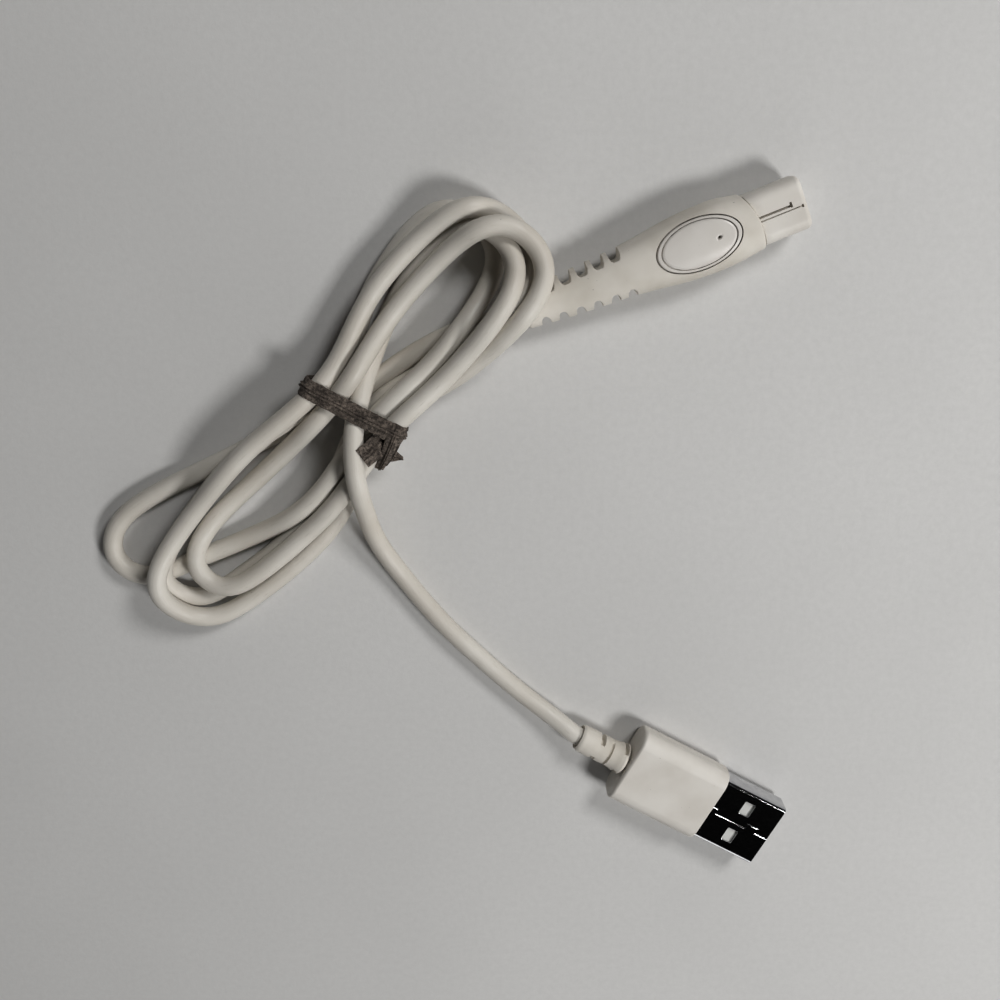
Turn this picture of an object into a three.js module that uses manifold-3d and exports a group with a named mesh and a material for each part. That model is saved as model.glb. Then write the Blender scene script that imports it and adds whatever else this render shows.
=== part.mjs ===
// Charging lead of a beard trimmer: a USB-A plug, a thin cord folded into a hank that a twist tie holds,
// and a two-contact appliance plug with a notched strain relief. Millimetres, +Z up. The lead lies on the
// plane z = 0, with the origin below the middle of the box that holds the two plugs.
import * as THREE from 'three';
import { mergeVertices } from 'three/addons/utils/BufferGeometryUtils.js';
import Module from 'manifold-3d';

const wasm = await Module();
wasm.setup();

// Clearance between pieces that touch on the real lead.
const GAP = 0.3;

// Layout on the resting plane: where each sub-assembly lies, and which way it points.
const USB_PLACE = { x: 10.0, y: -46.6, yaw: -28.8 };
const APPLIANCE_PLACE = { x: 3.2, y: 47.7, yaw: 21.7 };
const HANK_PLACE = { x: -48.5, y: 24.1, yaw: 46 };

// Cord.
const CORD_DIAMETER = 3.1;
const CORD_SIDES = 8;
const WIRE_DIAMETER = 1.0;

// USB-A plug. Its own frame: x = 0 where the metal shell leaves the housing, +x to the mouth.
const SHELL = { width: 12.0, height: 4.5, exposed: 11.75, hidden: 6.6, corner: 0.64, wall: 0.3 };
const SHELL_WINDOW = { across: 2.5, along: 1.95, offset: 2.85, fromMouth: 6.1 };
const USB_HOUSING = { length: 16.6, width: 13.7, height: 6.6, corner: 2.5, edge: 0.5 };
const USB_BUSHING = { length: 9.2, radius: 2.35, flangeRadius: 2.9, flangeLength: 0.9 };
const TONGUE = { width: 10.8, thickness: 1.6, mouthRecess: 0.9, rear: -6.2, shoulder: 0.6 };
const USB_CONTACTS = [
  { name: 'usb_contact_power', y: 3.5, tip: 9.3 },
  { name: 'usb_contact_data_minus', y: 1.0, tip: 8.3 },
  { name: 'usb_contact_data_plus', y: -1.0, tip: 8.3 },
  { name: 'usb_contact_ground', y: -3.5, tip: 9.3 },
];
const CONTACT = { width: 1.0, thickness: 0.3, rear: -9.4 };
const CARRIER = { front: -6.9, rear: -12.6, width: 10.0, height: 3.2 };
const USB_CHAMBER = { rear: -13.2, width: 10.8, height: 4.0 };
const REAR_BORE_RADIUS = 1.7;

// Appliance plug. Its own frame: x = 0 at the middle of the badge, +x to the contact face.
const GRIP = { rear: -10.2, front: 9.6, height: 8.2, middle: 4.1, power: 2.6 };
const GRIP_HALF_WIDTHS = [
  [-11.0, 3.85], [-8, 4.25], [-3, 4.9], [1.2, 5.15], [5, 5.05], [7.6, 4.7], [9.6, 4.35],
];
const GRIP_HEIGHTS = [[-11.0, 0.84], [-7, 0.92], [-2, 1.0], [4, 1.0], [9.6, 0.93]];
const SEAM = { left: 8.2, middle: 9.3, right: 9.3 };
const HEAD = {
  front: 16.9, width: 8.0, height: 6.2, corner: 1.6, rear: 2.5, neckWidth: 7.0, neckHeight: 4.4,
};
const SOCKET = { offset: 1.8, radius: 1.05, bore: 0.7, front: 16.1, rear: 6.5 };
const BADGE = { along: 13.0, across: 7.5, floor: 6.8 };
const RELIEF = { front: -10.5, rear: -27.5, frontHalfWidth: 3.9, rearHalfWidth: 2.7, flatness: 0.8 };
const NOTCH = { width: 1.6, depth: 1.5, pitch: 2.68, left: [-12.1, 6], right: [-13.9, 5] };

// Hank, in its own frame: x along the loops and y across them, both from the middle of the tie.
const LOWER_TOP = 9.4;
const UPPER_TOP = 11.3;
const HANK_NECK = { halfWidth: 7.9, middle: -0.7, bottom: 0.9, top: 8.8, corner: 2.5 };
const LOWER_LOBE = [
  [-6.5, 7.3], [-12, 7.9], [-18, 8.6], [-24, 11.1], [-30, 13.3], [-36, 15.2], [-41.5, 15.8], [-46, 14.6],
  [-48.9, 9.4], [-48.0, 3.8], [-46.9, -2.5], [-44.6, -8.4], [-40, -11.1], [-34, -12.5], [-26, -13.2],
  [-18, -12.9], [-12, -11.5], [-6.5, -9.6],
];
const UPPER_LOBE = [
  [5.5, -9.0], [10, -9.9], [16, -11.0], [22, -11.2], [28, -11.4], [32.5, -10.3], [36, -8.0], [37.8, -2.3],
  [37.6, 2.5], [35.6, 6.9], [32, 10.5], [27.5, 12.3], [22, 12.4], [16, 11.7], [11, 10.5], [5.5, 8.6],
];
const TIE = { wide: 3.0, thick: 0.5, oblique: 16, at: -0.9 };
const TIE_KNOT = { at: [-0.9, -10.9, 6.6], half: [3.2, 0.85, 1.9], yaw: 14 };
const TIE_FLAP = { at: [-2.2, -7.0, 10.2], length: 5.4, yaw: 0 };
const TIE_TIP = { at: [-2.6, -11.1, 3.9], length: 2.6, yaw: 14 };

// Uncoiled cord from the hank to the USB plug: x, y on the resting plane and the height of the centre. The
// first point lies within the hank's lower lobe, on top of its other strands.
const TAIL_POINTS = [
  [-48.2, 12.6, 8.5], [-47.9, 10.2, 8.0], [-47.4, 6.8, 6.0], [-46.8, 3.2, 4.1], [-45.4, -0.6, 2.6],
  [-43.2, -4.1, 1.8], [-40.6, -7.8, 1.6], [-37.6, -11.6, 1.6], [-34.4, -15.4, 1.6], [-30.6, -19.1, 1.6],
  [-27.0, -22.6, 1.6], [-23.1, -26.2, 1.6], [-19.6, -29.1, 1.7], [-16.2, -31.5, 2.5], [-13.1, -33.88, 3.2],
];

// Materials.
const plastic = (color, roughness) => new THREE.MeshStandardMaterial({ color, roughness, metalness: 0 });
const metal = (color, roughness) => new THREE.MeshStandardMaterial({ color, roughness, metalness: 1 });
const WHITE_PLASTIC = plastic(0xe8e6e1, 0.45);
const SOFT_WHITE = plastic(0xdedbd5, 0.6);
const CORD_SKIN = plastic(0xd8d5ce, 0.55);
const INSULATOR = plastic(0xd9d9d6, 0.5);
const TIE_PAPER = plastic(0x6a6058, 0.9);
const RED_WIRE = plastic(0xa82a22, 0.5);
const BLACK_WIRE = plastic(0x1c1c1e, 0.5);
const SHELL_STEEL = metal(0x8f9193, 0.25);
const GOLD_PLATE = metal(0xc9a45a, 0.3);
const BRASS = metal(0xb5985a, 0.35);

// Joining and cutting.
function toSolid(geometry) {
  const bare = geometry.clone();
  bare.deleteAttribute('normal');
  bare.deleteAttribute('uv');
  const merged = mergeVertices(bare, 1e-4);
  return new wasm.Manifold(new wasm.Mesh({
    numProp: 3,
    vertProperties: new Float32Array(merged.attributes.position.array),
    triVerts: new Uint32Array(merged.index.array),
  }));
}

function toGeometry(solid) {
  const mesh = solid.getMesh();
  const geometry = new THREE.BufferGeometry();
  geometry.setAttribute('position', new THREE.BufferAttribute(mesh.vertProperties, 3));
  geometry.setIndex(new THREE.BufferAttribute(mesh.triVerts, 1));
  geometry.computeVertexNormals();
  return geometry;
}

function cut(body, ...tools) {
  return tools.reduce((left, tool) => left.subtract(toSolid(tool)), toSolid(body));
}

// Shapes.
function roundedRectangle(width, height, radius) {
  const shape = new THREE.Shape();
  const x = width / 2 - radius;
  const y = height / 2 - radius;
  shape.absarc(x, -y, radius, -Math.PI / 2, 0);
  shape.absarc(x, y, radius, 0, Math.PI / 2);
  shape.absarc(-x, y, radius, Math.PI / 2, Math.PI);
  shape.absarc(-x, -y, radius, Math.PI, Math.PI * 1.5);
  shape.closePath();
  return shape;
}

function ellipse(halfX, halfY) {
  return new THREE.Shape().absellipse(0, 0, halfX, halfY, 0, Math.PI * 2);
}

function polygon(points) {
  return new THREE.Shape(points.map(([x, y]) => new THREE.Vector2(x, y)));
}

function smoothOutline(points, count) {
  const curve = new THREE.SplineCurve(points.map(([x, y]) => new THREE.Vector2(x, y)));
  return new THREE.Shape(curve.getPoints(count));
}

// A section drawn in (y, z) and run along x, with an optional bevel inside the stated ends.
function alongX(section, from, to, { steps = 1, curveSegments = 4, bevel = 0 } = {}) {
  const geometry = new THREE.ExtrudeGeometry(section, {
    depth: to - from - 2 * bevel,
    steps,
    curveSegments,
    bevelEnabled: bevel > 0,
    bevelThickness: bevel,
    bevelSize: bevel,
    bevelOffset: -bevel,
    bevelSegments: 2,
  });
  geometry.translate(0, 0, from + bevel);
  const y = new THREE.Vector3(0, 1, 0);
  const z = new THREE.Vector3(0, 0, 1);
  const x = new THREE.Vector3(1, 0, 0);
  return geometry.applyMatrix4(new THREE.Matrix4().makeBasis(y, z, x));
}

// A plan drawn in (x, y) and run up from one height to another.
function upright(plan, bottom, top, curveSegments = 8) {
  const settings = { depth: top - bottom, bevelEnabled: false, curveSegments };
  return new THREE.ExtrudeGeometry(plan, settings).translate(0, 0, bottom);
}

function block(x0, x1, y0, y1, z0, z1) {
  const geometry = new THREE.BoxGeometry(x1 - x0, y1 - y0, z1 - z0);
  return geometry.translate((x0 + x1) / 2, (y0 + y1) / 2, (z0 + z1) / 2);
}

// A turned body about the x axis: [x, radius] pairs in rising x.
function turned(profile, segments = 20) {
  const points = profile.map(([x, radius]) => new THREE.Vector2(radius, x));
  return new THREE.LatheGeometry(points, segments).rotateZ(-Math.PI / 2);
}

function tube(points, diameter, steps, sides = CORD_SIDES) {
  const path = new THREE.CatmullRomCurve3(points.map((p) => new THREE.Vector3(...p)), false, 'centripetal');
  const corners = [];
  for (let side = 0; side < sides; side += 1) {
    const angle = (side + 0.5) * (Math.PI * 2 / sides);
    corners.push([Math.cos(angle) * diameter / 2, Math.sin(angle) * diameter / 2]);
  }
  return new THREE.ExtrudeGeometry(polygon(corners), { steps, extrudePath: path, bevelEnabled: false });
}

function interpolate(table, x) {
  const last = table.length - 1;
  if (x <= table[0][0]) return table[0][1];
  if (x >= table[last][0]) return table[last][1];
  const after = table.findIndex(([station]) => station > x);
  const [x0, value0] = table[after - 1];
  const [x1, value1] = table[after];
  return value0 + (value1 - value0) * (x - x0) / (x1 - x0);
}

function mesh(name, shape, material) {
  const geometry = shape instanceof wasm.Manifold ? toGeometry(shape) : shape;
  const piece = new THREE.Mesh(geometry, material);
  piece.name = name;
  return piece;
}

function placed({ x, y, yaw }, height, pieces) {
  const group = new THREE.Group();
  group.position.set(x, y, height);
  group.rotation.z = THREE.MathUtils.degToRad(yaw);
  group.add(...pieces);
  return group;
}

// USB-A plug.
function usbShell() {
  const section = roundedRectangle(SHELL.width, SHELL.height, SHELL.corner);
  const inside = roundedRectangle(
    SHELL.width - 2 * SHELL.wall, SHELL.height - 2 * SHELL.wall, SHELL.corner - SHELL.wall);
  section.holes.push(inside);
  const windows = [-1, 1].map((side) => {
    const x = SHELL.exposed - SHELL_WINDOW.fromMouth;
    const y = side * SHELL_WINDOW.offset;
    const along = SHELL_WINDOW.along / 2;
    const across = SHELL_WINDOW.across / 2;
    return block(x - along, x + along, y - across, y + across, -SHELL.height, SHELL.height);
  });
  return cut(alongX(section, -SHELL.hidden, SHELL.exposed, { curveSegments: 3 }), ...windows);
}

function usbHousing() {
  const { length, width, height, corner, edge } = USB_HOUSING;
  const body = alongX(roundedRectangle(width, height, corner), -length, 0, { curveSegments: 5, bevel: edge });
  const pocket = alongX(
    roundedRectangle(SHELL.width + 2 * GAP, SHELL.height + 2 * GAP, SHELL.corner + GAP),
    -SHELL.hidden - GAP, 1, { curveSegments: 3 });
  const { rear, width: chamberWidth, height: chamberHeight } = USB_CHAMBER;
  const chamber = block(
    rear, -SHELL.hidden, -chamberWidth / 2, chamberWidth / 2, -chamberHeight / 2, chamberHeight / 2);
  const bore = turned([
    [-length - 1, 0], [-length - 1, REAR_BORE_RADIUS], [rear + 1, REAR_BORE_RADIUS], [rear + 1, 0],
  ], 16);
  return cut(body, pocket, chamber, bore);
}

function contactSlot(y, rear, tip) {
  const halfWidth = CONTACT.width / 2 + GAP / 2;
  return block(rear, tip, y - halfWidth, y + halfWidth, -CONTACT.thickness - GAP / 2, GAP / 2);
}

function usbTongue() {
  const halfWidth = TONGUE.width / 2;
  const halfHeight = SHELL.height / 2 - SHELL.wall - GAP / 2;
  const tip = SHELL.exposed - TONGUE.mouthRecess;
  const root = block(TONGUE.rear, TONGUE.shoulder, -halfWidth, halfWidth, -halfHeight, halfHeight);
  const underside = halfHeight - TONGUE.thickness - GAP;
  const blade = block(TONGUE.rear, tip, -halfWidth, halfWidth, underside, halfHeight);
  const slots = USB_CONTACTS.map(({ y, tip: end }) => contactSlot(y, TONGUE.rear - 1, end + GAP / 2));
  return slots.reduce((body, slot) => body.subtract(toSolid(slot)), toSolid(root).add(toSolid(blade)));
}

function usbContact(y, tip) {
  const halfWidth = CONTACT.width / 2;
  return block(CONTACT.rear, tip, y - halfWidth, y + halfWidth, -CONTACT.thickness, 0);
}

function usbCarrier() {
  const { front, rear, width, height } = CARRIER;
  const slots = USB_CONTACTS.map(({ y }) => contactSlot(y, CONTACT.rear - GAP, front + 1));
  return cut(block(rear, front, -width / 2, width / 2, -height / 2, height / 2), ...slots);
}

function usbBushing() {
  const { length, radius, flangeRadius, flangeLength } = USB_BUSHING;
  const front = -USB_HOUSING.length - GAP;
  const rear = -USB_HOUSING.length - length;
  return turned([
    [rear, 0], [rear, radius * 0.86], [rear + 0.5, radius * 0.97], [rear + 1.6, radius],
    [front - flangeLength - 0.4, radius], [front - flangeLength, flangeRadius - 0.2],
    [front - flangeLength / 2, flangeRadius], [front, flangeRadius - 0.3], [front, 0],
  ]);
}

function usbWire(side) {
  const rear = -USB_HOUSING.length + GAP;
  const front = CARRIER.rear - GAP;
  return tube([
    [rear, side * 0.75, 0], [rear + 1.2, side * 0.75, 0],
    [front - 1.0, side * 0.95, 0.1], [front, side * 1.1, 0.1],
  ], WIRE_DIAMETER, 6);
}

function usbPlug() {
  const pieces = [
    mesh('usb_housing', usbHousing(), WHITE_PLASTIC),
    mesh('usb_strain_relief', usbBushing(), SOFT_WHITE),
    mesh('usb_shell', usbShell(), SHELL_STEEL),
    mesh('usb_tongue', usbTongue(), INSULATOR),
    mesh('usb_contact_carrier', usbCarrier(), INSULATOR),
    mesh('usb_wire_positive', usbWire(1), RED_WIRE),
    mesh('usb_wire_negative', usbWire(-1), BLACK_WIRE),
    ...USB_CONTACTS.map(({ name, y, tip }) => mesh(name, usbContact(y, tip), GOLD_PLATE)),
  ];
  return placed(USB_PLACE, USB_HOUSING.height / 2, pieces);
}

// Appliance plug.
function seamCurve(shift) {
  const halfWidth = HEAD.width / 2;
  const left = new THREE.Vector2(SEAM.left + shift, halfWidth + 2);
  const bulge = new THREE.Vector2(SEAM.middle + 0.2 + shift, halfWidth / 2);
  const right = new THREE.Vector2(SEAM.right + shift, -halfWidth - 2);
  return new THREE.QuadraticBezierCurve(left, bulge, right).getPoints(8);
}

// The grip's outer form: a superellipse flattened below, whose width and height follow the two tables.
function gripForm(lift = 0) {
  const corners = [];
  const count = 32;
  for (let i = 0; i < count; i += 1) {
    const angle = Math.PI * 2 * (i + 0.5) / count;
    const rounded = (value) => Math.sign(value) * Math.abs(value) ** (2 / GRIP.power);
    corners.push([rounded(Math.cos(angle)), Math.max(rounded(Math.sin(angle)), -0.94)]);
  }
  const geometry = alongX(polygon(corners), GRIP.rear, GRIP.front, { steps: 16 });
  const position = geometry.attributes.position;
  for (let i = 0; i < position.count; i += 1) {
    const x = position.getX(i);
    const height = position.getZ(i);
    const scale = interpolate(GRIP_HEIGHTS, x);
    const half = height < 0 ? GRIP.middle / 0.94 : GRIP.height - GRIP.middle + lift;
    position.setY(i, position.getY(i) * interpolate(GRIP_HALF_WIDTHS, x));
    position.setZ(i, height * half * scale);
  }
  return geometry;
}

function applianceGrip() {
  const beyondSeam = new THREE.Shape([
    ...seamCurve(0), new THREE.Vector2(20, -12), new THREE.Vector2(20, 12),
  ]);
  const neck = alongX(
    roundedRectangle(HEAD.neckWidth + 2 * GAP, HEAD.neckHeight + 2 * GAP, 1.2), HEAD.rear - GAP, 20);
  const wireRoom = block(-8.5, HEAD.rear + 1, -2.6, 2.6, -1.9, 1.9);
  const bore = turned([[-13, 0], [-13, REAR_BORE_RADIUS], [-8, REAR_BORE_RADIUS], [-8, 0]], 16);
  const recess = upright(
    ellipse(BADGE.along / 2 + GAP, BADGE.across / 2 + GAP), BADGE.floor - GRIP.middle, GRIP.height, 28);
  return cut(gripForm(), upright(beyondSeam, -9, 9), neck, wireRoom, bore, recess);
}

function applianceBadge() {
  const oval = upright(
    ellipse(BADGE.along / 2, BADGE.across / 2), BADGE.floor - GRIP.middle + GAP, GRIP.height, 28);
  return toSolid(oval).intersect(toSolid(gripForm(0.1)));
}

function applianceHead() {
  const nose = alongX(
    roundedRectangle(HEAD.width, HEAD.height, HEAD.corner), SEAM.left - 2, HEAD.front,
    { curveSegments: 4, bevel: 0.5 });
  const behindSeam = new THREE.Shape([
    ...seamCurve(GAP).reverse(), new THREE.Vector2(-5, 12), new THREE.Vector2(-5, -12),
  ]);
  const neck = alongX(roundedRectangle(HEAD.neckWidth, HEAD.neckHeight, 0.9), HEAD.rear, HEAD.front - 3);
  const bores = [-1, 1].map((side) => {
    const radius = SOCKET.radius + GAP;
    const bore = turned([
      [HEAD.rear - 1, 0], [HEAD.rear - 1, radius], [SOCKET.front + GAP, radius],
      [SOCKET.front + GAP, SOCKET.bore + GAP], [HEAD.front + 1, SOCKET.bore + GAP], [HEAD.front + 1, 0],
    ], 16);
    return bore.translate(0, side * SOCKET.offset, 0);
  });
  const body = cut(nose, upright(behindSeam, -9, 9)).add(toSolid(neck));
  return bores.reduce((left, bore) => left.subtract(toSolid(bore)), body);
}

function applianceSocket(side) {
  const sleeve = turned([
    [SOCKET.rear, 0], [SOCKET.rear, SOCKET.radius], [SOCKET.front, SOCKET.radius],
    [SOCKET.front, SOCKET.bore], [SOCKET.rear + 1.5, SOCKET.bore], [SOCKET.rear + 1.5, 0],
  ], 14);
  return sleeve.translate(0, side * SOCKET.offset, 0);
}

function applianceRelief() {
  const { front, rear, frontHalfWidth, rearHalfWidth, flatness } = RELIEF;
  const taper = turned([
    [rear, 0], [rear, rearHalfWidth - 0.3], [rear + 0.4, rearHalfWidth], [front, frontHalfWidth], [front, 0],
  ], 24).scale(1, 1, flatness);
  const notches = [];
  for (const [side, [first, count]] of [[1, NOTCH.left], [-1, NOTCH.right]]) {
    for (let i = 0; i < count; i += 1) {
      const x = first - i * NOTCH.pitch;
      const halfWidth = frontHalfWidth + (rearHalfWidth - frontHalfWidth) * (x - front) / (rear - front);
      const y = side * (halfWidth - NOTCH.depth + 2.5);
      notches.push(block(x - NOTCH.width / 2, x + NOTCH.width / 2, y - 2.5, y + 2.5, -5, 5));
    }
  }
  return cut(taper, ...notches);
}

function applianceWire(side) {
  const front = SOCKET.rear - GAP;
  return tube([
    [GRIP.rear + GAP, side * 0.75, 0], [-8, side * 0.75, 0], [-4, side * 1.2, 0.3], [1, side * 1.5, 0.2],
    [front - 1.5, side * SOCKET.offset, 0], [front, side * SOCKET.offset, 0],
  ], WIRE_DIAMETER, 12);
}

function appliancePlug() {
  const pieces = [
    mesh('appliance_grip', applianceGrip(), SOFT_WHITE),
    mesh('appliance_badge', applianceBadge(), WHITE_PLASTIC),
    mesh('appliance_head', applianceHead(), WHITE_PLASTIC),
    mesh('appliance_strain_relief', applianceRelief(), SOFT_WHITE),
  ];
  for (const [end, side] of [['left', 1], ['right', -1]]) {
    pieces.push(mesh(`appliance_socket_${end}`, applianceSocket(side), BRASS));
  }
  pieces.push(mesh('appliance_wire_positive', applianceWire(1), RED_WIRE));
  pieces.push(mesh('appliance_wire_negative', applianceWire(-1), BLACK_WIRE));
  return placed(APPLIANCE_PLACE, GRIP.middle, pieces);
}

// Hank and tie.
function neckSection(grow) {
  const { halfWidth, middle, bottom, top, corner } = HANK_NECK;
  const section = roundedRectangle(2 * (halfWidth + grow), top - bottom + 2 * grow, corner + grow);
  const centre = new THREE.Vector2(middle, (top + bottom) / 2);
  return new THREE.Shape(section.getPoints(4).map((point) => point.add(centre)));
}

function lowerLobe(top = LOWER_TOP) {
  return upright(smoothOutline(LOWER_LOBE, 48), 0, top);
}

// The plug's strain relief runs below the upper lobe, in a channel of its own.
function reliefChannel() {
  const halfWidth = RELIEF.frontHalfWidth + GAP;
  const top = GRIP.middle + RELIEF.frontHalfWidth * RELIEF.flatness + GAP;
  const channel = block(RELIEF.rear - 1.5, RELIEF.front, -halfWidth, halfWidth, -1, top);
  channel.rotateZ(THREE.MathUtils.degToRad(APPLIANCE_PLACE.yaw));
  channel.translate(APPLIANCE_PLACE.x - HANK_PLACE.x, APPLIANCE_PLACE.y - HANK_PLACE.y, 0);
  return channel.rotateZ(-THREE.MathUtils.degToRad(HANK_PLACE.yaw));
}

function hank() {
  const upper = cut(upright(smoothOutline(UPPER_LOBE, 44), 0, UPPER_TOP), reliefChannel());
  const neck = alongX(neckSection(0), -10, 9);
  return toSolid(lowerLobe()).add(upper).add(toSolid(neck));
}

function tieBand() {
  const section = neckSection(GAP + TIE.thick);
  section.holes.push(neckSection(GAP));
  const sleeve = alongX(section, -9, 9);
  const slice = block(-TIE.wide / 2, TIE.wide / 2, -20, 20, -20, 30);
  slice.rotateZ(THREE.MathUtils.degToRad(TIE.oblique)).translate(TIE.at, 0, 0);
  return toSolid(sleeve).intersect(toSolid(slice));
}

function tieKnot() {
  const knot = new THREE.SphereGeometry(1, 14, 8).scale(...TIE_KNOT.half);
  knot.rotateZ(THREE.MathUtils.degToRad(TIE_KNOT.yaw));
  return knot.translate(...TIE_KNOT.at);
}

function tieEnd({ at, length, yaw }) {
  const strip = new THREE.BoxGeometry(length, TIE.wide, TIE.thick);
  strip.rotateZ(THREE.MathUtils.degToRad(yaw));
  return strip.translate(...at);
}

function hankPieces() {
  return placed(HANK_PLACE, 0, [
    mesh('cord_hank', hank(), CORD_SKIN),
    mesh('tie_band', tieBand(), TIE_PAPER),
    mesh('tie_knot', tieKnot(), TIE_PAPER),
    mesh('tie_end_flap', tieEnd(TIE_FLAP), TIE_PAPER),
    mesh('tie_end_tip', tieEnd(TIE_TIP), TIE_PAPER),
  ]);
}

// The free cord stops at the hank's side and at the bushing.
function cordTail() {
  const lobe = lowerLobe(UPPER_TOP);
  lobe.rotateZ(THREE.MathUtils.degToRad(HANK_PLACE.yaw));
  lobe.translate(HANK_PLACE.x, HANK_PLACE.y - GAP, 0);
  return cut(tube(TAIL_POINTS, CORD_DIAMETER, 34), lobe);
}

const lead = new THREE.Group();
lead.name = 'charging_lead';
lead.add(hankPieces(), mesh('cord_tail', cordTail(), CORD_SKIN), usbPlug(), appliancePlug());

export default lead;
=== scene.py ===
# Charging lead of a beard trimmer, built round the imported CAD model: the cord in its hank, the twist
# tie, the USB-A plug and the two-contact appliance plug, with materials, floor, lights and camera.
# Shapes are worked out in millimetres, in each sub-assembly's own frame, and turned into metres at the end.
import math

import bmesh
import bpy
import numpy as np
from mathutils import Matrix, Vector, noise


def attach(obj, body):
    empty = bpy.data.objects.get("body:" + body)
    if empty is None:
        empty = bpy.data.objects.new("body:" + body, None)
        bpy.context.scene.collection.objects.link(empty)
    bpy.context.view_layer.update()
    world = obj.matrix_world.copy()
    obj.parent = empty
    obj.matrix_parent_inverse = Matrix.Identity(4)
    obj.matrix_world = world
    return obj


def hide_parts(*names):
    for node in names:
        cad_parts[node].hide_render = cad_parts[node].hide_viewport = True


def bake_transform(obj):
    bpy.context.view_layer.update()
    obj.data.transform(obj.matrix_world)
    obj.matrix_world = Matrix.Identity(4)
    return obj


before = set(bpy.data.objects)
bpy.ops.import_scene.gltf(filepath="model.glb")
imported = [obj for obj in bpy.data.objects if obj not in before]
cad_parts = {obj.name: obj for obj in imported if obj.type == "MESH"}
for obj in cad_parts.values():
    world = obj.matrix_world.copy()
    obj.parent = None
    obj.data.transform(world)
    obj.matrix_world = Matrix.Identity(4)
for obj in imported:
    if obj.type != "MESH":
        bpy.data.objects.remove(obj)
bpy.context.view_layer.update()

MM = 0.001


# Layout on the floor, as in the CAD model.
def placement(x, y, yaw, height):
    """A sub-assembly's frame: its x axis turned by yaw degrees, its axis at that height above the floor."""
    return Matrix.Translation((x, y, height)) @ Matrix.Rotation(math.radians(yaw), 4, "Z")


USB = placement(10.0, -46.6, -28.8, 3.3)
APPLIANCE = placement(3.2, 47.7, 21.7, 4.1)
HANK = placement(-48.5, 24.1, 46.0, 0.0)


def metres(place, *point):
    """A point of a sub-assembly's frame, in metres in the whole object's frame."""
    return (place @ Vector(point)) * MM


# Camera, looking down on the lead.
CAMERA_PLACE = (-0.0260, 0.05467, 0.17297)
CAMERA_TILT = -15.5
CAMERA_LENS = 39.6
CAMERA_SENSOR = 36


def make_camera():
    data = bpy.data.cameras.new("camera")
    data.sensor_width = CAMERA_SENSOR
    data.lens = CAMERA_LENS
    data.clip_start = 0.01
    data.clip_end = 10
    camera = bpy.data.objects.new("camera", data)
    camera.location = CAMERA_PLACE
    camera.rotation_euler = (math.radians(CAMERA_TILT), 0, 0)
    bpy.context.scene.collection.objects.link(camera)
    bpy.context.scene.camera = camera


make_camera()

# Cord route. Each crossing of the tie and each half-loop of the hank is given in the hank's frame, with
# x along the loops and y across them, and ranks that say which strand lies on which.
CORD_DIAMETER = 3.1
CORD_RADIUS = CORD_DIAMETER / 2
ROUTE_STEP = 1.0
RELIEF_REAR = -27.5
RELIEF_FRONT = -10.2
LEAD_IN = [(18.1, -4.2), (10.5, -1.6)]
# (y where the cord crosses under the tie, rank there)
TIE_CROSSINGS = [
    (0.6, 0), (-4.0, 5), (3.9, 1), (-2.6, 1), (5.3, 6), (-5.8, 2), (2.3, 6.5), (-6.9, 5.8), (-0.9, 5.5),
]
# (side, reach, ys on the way out, y at the tip, ys on the way back, ranks from the way out to the way back)
HALF_LOOPS = [
    (-1, 48.2, (7.3, 14.2), 9.4, (2.0, -6.0), (0, 0, 0, 0.5, 1.8)),
    (1, 32.8, (-4.7, -2.7), 4.6, (11.0, 9.3), (3, 2, 1.5, 1, 1)),
    (-1, 45.0, (7.0, 5.6), -0.5, (-5.8, -7.9), (1, 1, 1, 0.8, 0.3)),
    (1, 36.2, (-6.0, -7.6), 0.8, (8.6, 9.2), (1.5, 2, 3, 4, 4)),
    (-1, 46.1, (6.8, 5.1), -2.4, (-9.7, -11.5), (2, 2, 2, 2, 2)),
    (1, 36.5, (-9.2, -9.2), -2.6, (4.5, 4.9), (2.2, 5, 5, 5, 5)),
    (-1, 39.3, (2.3, 3.0), -2.5, (-7.6, -9.1), (3, 3, 3, 3, 3.6)),
    (1, 33.6, (-7.6, -6.0), 0.6, (7.4, 5.2), (4, 4, 3, 2.5, 2.5)),
]
# Where a half-loop's points lie along its reach, and its shoulder's width as a share of its far points'.
MIDDLE_SHARE = 0.4
FAR_SHARE = 0.85
SHOULDER_SHARE = 0.96
SHOULDER_WIDTH = 0.72
# From under the tie, the free stretch to the USB plug. TAIL_POINTS are the CAD model's route points, and
# the cord keeps their heights where y is below TAIL_HELD_FROM.
TAIL_RANK = 7
UNDER_TIE = [(-48.5, 19.6), (-48.6, 16.5)]
TAIL_POINTS = [
    (-48.2, 12.6, 8.5), (-47.9, 10.2, 8.0), (-47.4, 6.8, 6.0), (-46.8, 3.2, 4.1), (-45.4, -0.6, 2.6),
    (-43.2, -4.1, 1.8), (-40.6, -7.8, 1.6), (-37.6, -11.6, 1.6), (-34.4, -15.4, 1.6), (-30.6, -19.1, 1.6),
    (-27.0, -22.6, 1.6), (-23.1, -26.2, 1.6), (-19.6, -29.1, 1.7), (-16.2, -31.5, 2.5), (-13.1, -33.88, 3.2),
]
TAIL_HELD_FROM = -5.0
CORD_END_IN_BUSHING = -24.9
USB_AXIS = 3.3
APPLIANCE_AXIS = 4.1


def in_plane(place, x, y):
    """A point of a sub-assembly's frame, seen from above."""
    point = place @ Vector((x, y, 0))
    return (point.x, point.y)


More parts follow.
